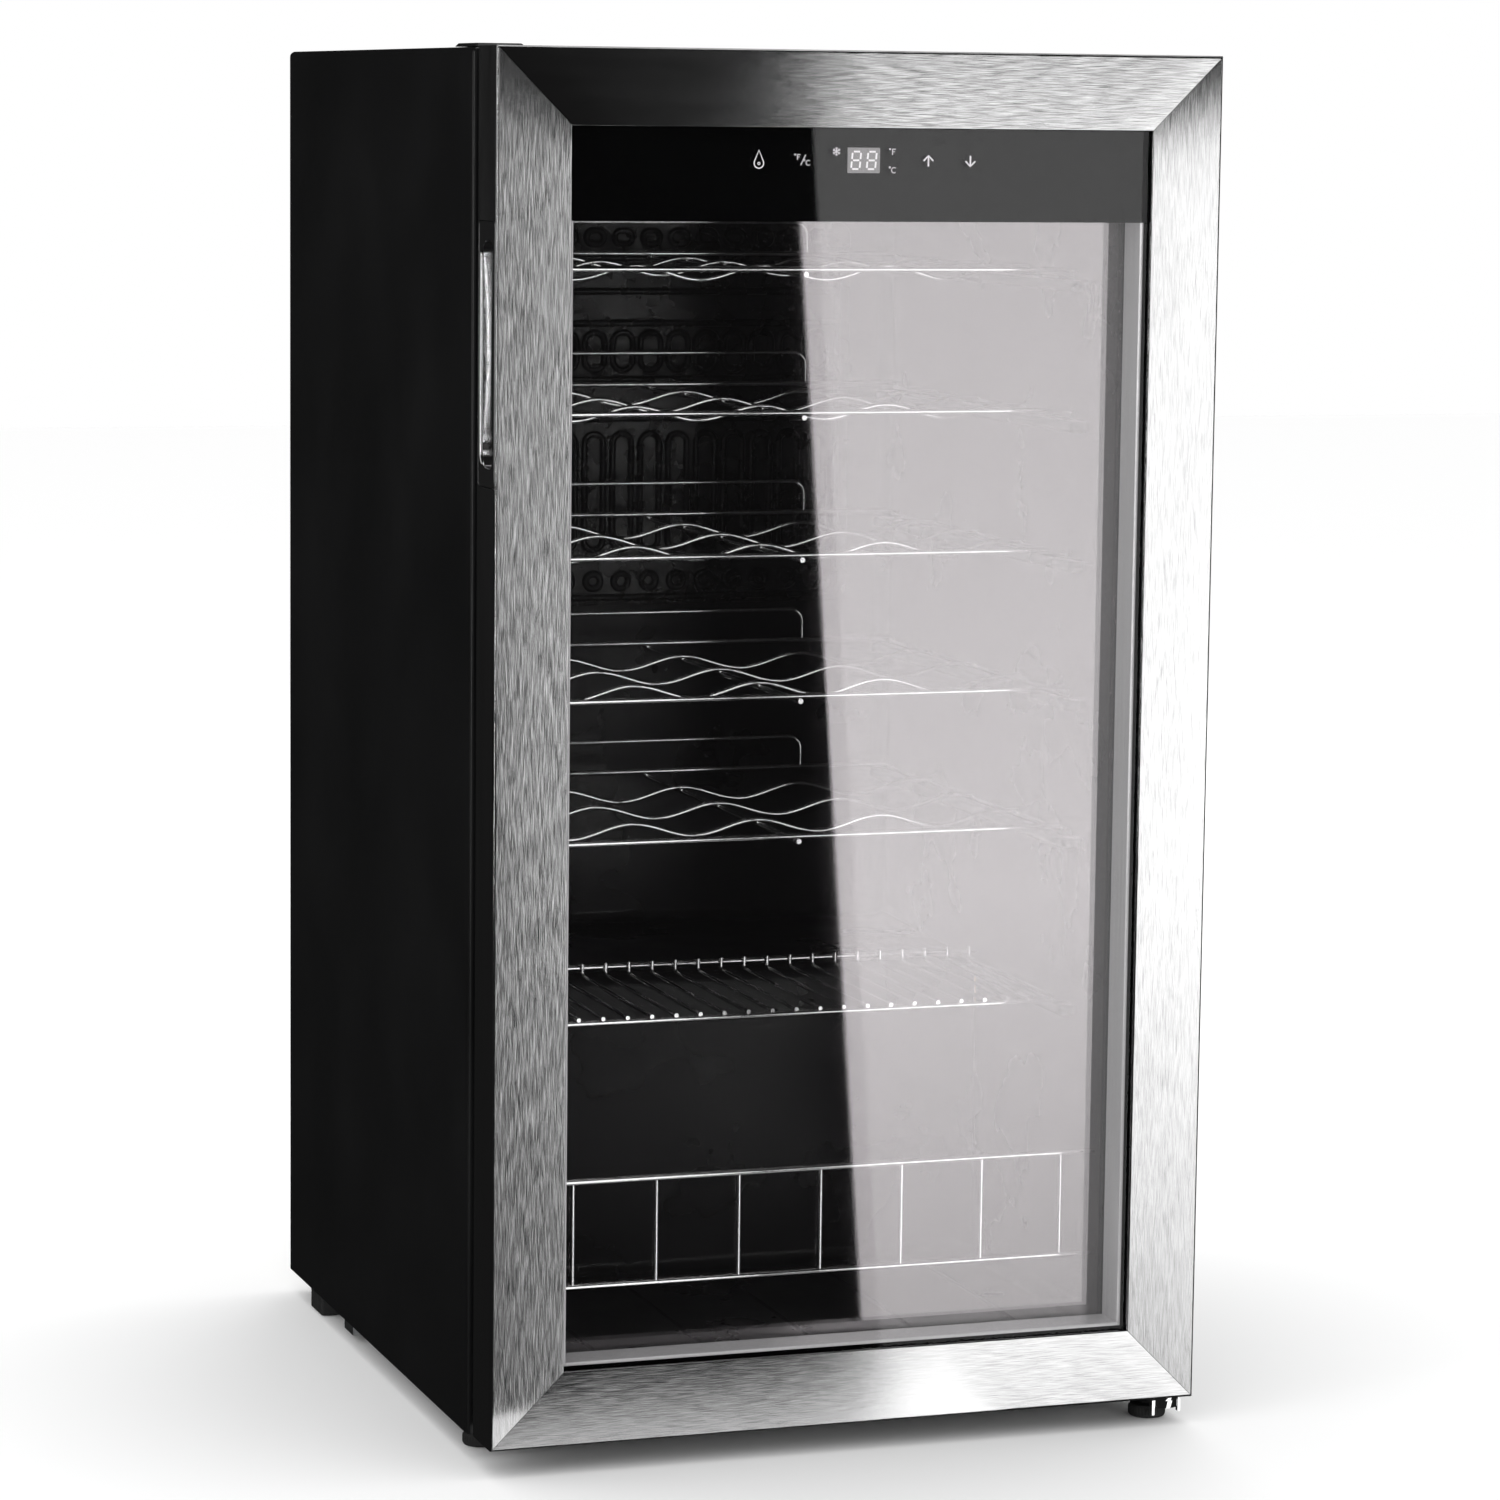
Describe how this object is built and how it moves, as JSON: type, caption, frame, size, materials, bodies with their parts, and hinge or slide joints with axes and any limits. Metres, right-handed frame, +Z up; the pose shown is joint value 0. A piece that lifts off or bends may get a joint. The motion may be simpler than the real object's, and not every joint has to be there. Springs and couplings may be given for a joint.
{
  "type": "wine cooler",
  "caption": "Free-standing cabinet that keeps bottles cool on sliding wave-wire racks behind a framed glass door with a side pocket handle.",
  "frame": {"origin": "on the floor under the middle of the cabinet and its closed door", "axes": "+Z up, -Y towards the front of the door, +X towards the hinge side"},
  "size_m": [0.445, 0.49, 0.8283],
  "materials": {
    "black_paint": "satin",
    "coil_paint": "satin",
    "zinc": "satin",
    "stainless": "satin",
    "chrome": "polished",
    "foam": "matte",
    "liner_plastic": "satin",
    "black_plastic": "satin",
    "grey_plastic": "satin",
    "board_green": "satin",
    "copper": "satin",
    "rubber": "matte",
    "tinted_glass": "gloss"
  },
  "bodies": {
    "cabinet": {"outer_shell": "black_paint", "back_panel": "zinc", "base_plate": "zinc", "foam_insulation": "foam", "inner_liner": "liner_plastic", "evaporator_plate": "black_paint", "condenser_coil": "coil_paint", "condenser_rail_left": "zinc", "condenser_rail_right": "zinc", "compressor_mount": "coil_paint", "compressor_grommet_1": "rubber", "compressor_grommet_2": "rubber", "compressor_grommet_3": "rubber", "compressor_grommet_4": "rubber", "compressor": "coil_paint", "start_relay_box": "black_plastic", "power_board_box": "black_plastic", "suction_pipe": "copper", "discharge_pipe": "copper", "filter_drier": "copper", "drip_tray": "black_plastic", "drain_spout": "black_plastic", "cord_gland": "black_plastic", "lamp_housing": "black_plastic", "lamp_lens": "grey_plastic", "temperature_sensor": "black_plastic", "hinge_blank_cap": "black_plastic", "rear_foot_left": "rubber", "rear_foot_right": "rubber", "upper_hinge_plate": "zinc", "lower_hinge_bracket": "chrome", "bottle_fence": "chrome"},
    "door": {"door_frame_left": "stainless", "door_frame_right": "stainless", "door_frame_top": "stainless", "door_frame_bottom": "stainless", "handle_cup": "chrome", "door_top_cap": "black_plastic", "door_bottom_cap": "black_plastic", "door_inner_frame": "black_plastic", "outer_glass": "tinted_glass", "glass_spacer": "black_plastic", "inner_glass": "tinted_glass", "display_module": "grey_plastic", "control_board": "board_green", "door_gasket": "rubber"},
    "rack_1": {"wave_rack_1": "chrome", "rack_stop_1": "chrome"},
    "rack_2": {"wave_rack_2": "chrome", "rack_stop_2": "chrome"},
    "rack_3": {"wave_rack_3": "chrome", "rack_stop_3": "chrome"},
    "rack_4": {"wave_rack_4": "chrome", "rack_stop_4": "chrome"},
    "rack_5": {"wave_rack_5": "chrome", "rack_stop_5": "chrome"},
    "shelf": {"flat_shelf": "chrome"},
    "foot_left": {"front_foot_left": "rubber"},
    "foot_right": {"front_foot_right": "rubber"}
  },
  "joints": [
    {"name": "door_hinge", "type": "hinge", "parent": "cabinet", "child": "door", "pos_m": [0.2105, -0.226, 0.4], "axis": [0, 0, 1], "range_deg": [0, 110]},
    {"name": "rack_1_slide", "type": "slide", "parent": "cabinet", "child": "rack_1", "axis": [0, -1, 0], "range_m": [0, 0.052]},
    {"name": "rack_2_slide", "type": "slide", "parent": "cabinet", "child": "rack_2", "axis": [0, -1, 0], "range_m": [0, 0.052]},
    {"name": "rack_3_slide", "type": "slide", "parent": "cabinet", "child": "rack_3", "axis": [0, -1, 0], "range_m": [0, 0.052]},
    {"name": "rack_4_slide", "type": "slide", "parent": "cabinet", "child": "rack_4", "axis": [0, -1, 0], "range_m": [0, 0.052]},
    {"name": "rack_5_slide", "type": "slide", "parent": "cabinet", "child": "rack_5", "axis": [0, -1, 0], "range_m": [0, 0.052]},
    {"name": "shelf_slide", "type": "slide", "parent": "cabinet", "child": "shelf", "axis": [0, -1, 0], "range_m": [0, 0.052]},
    {"name": "foot_left_turn", "type": "hinge", "parent": "cabinet", "child": "foot_left", "pos_m": [-0.205, -0.165, 0.004], "axis": [0, 0, 1], "continuous": true},
    {"name": "foot_right_turn", "type": "hinge", "parent": "cabinet", "child": "foot_right", "pos_m": [0.2045, -0.217, 0.004], "axis": [0, 0, 1], "continuous": true}
  ]
}
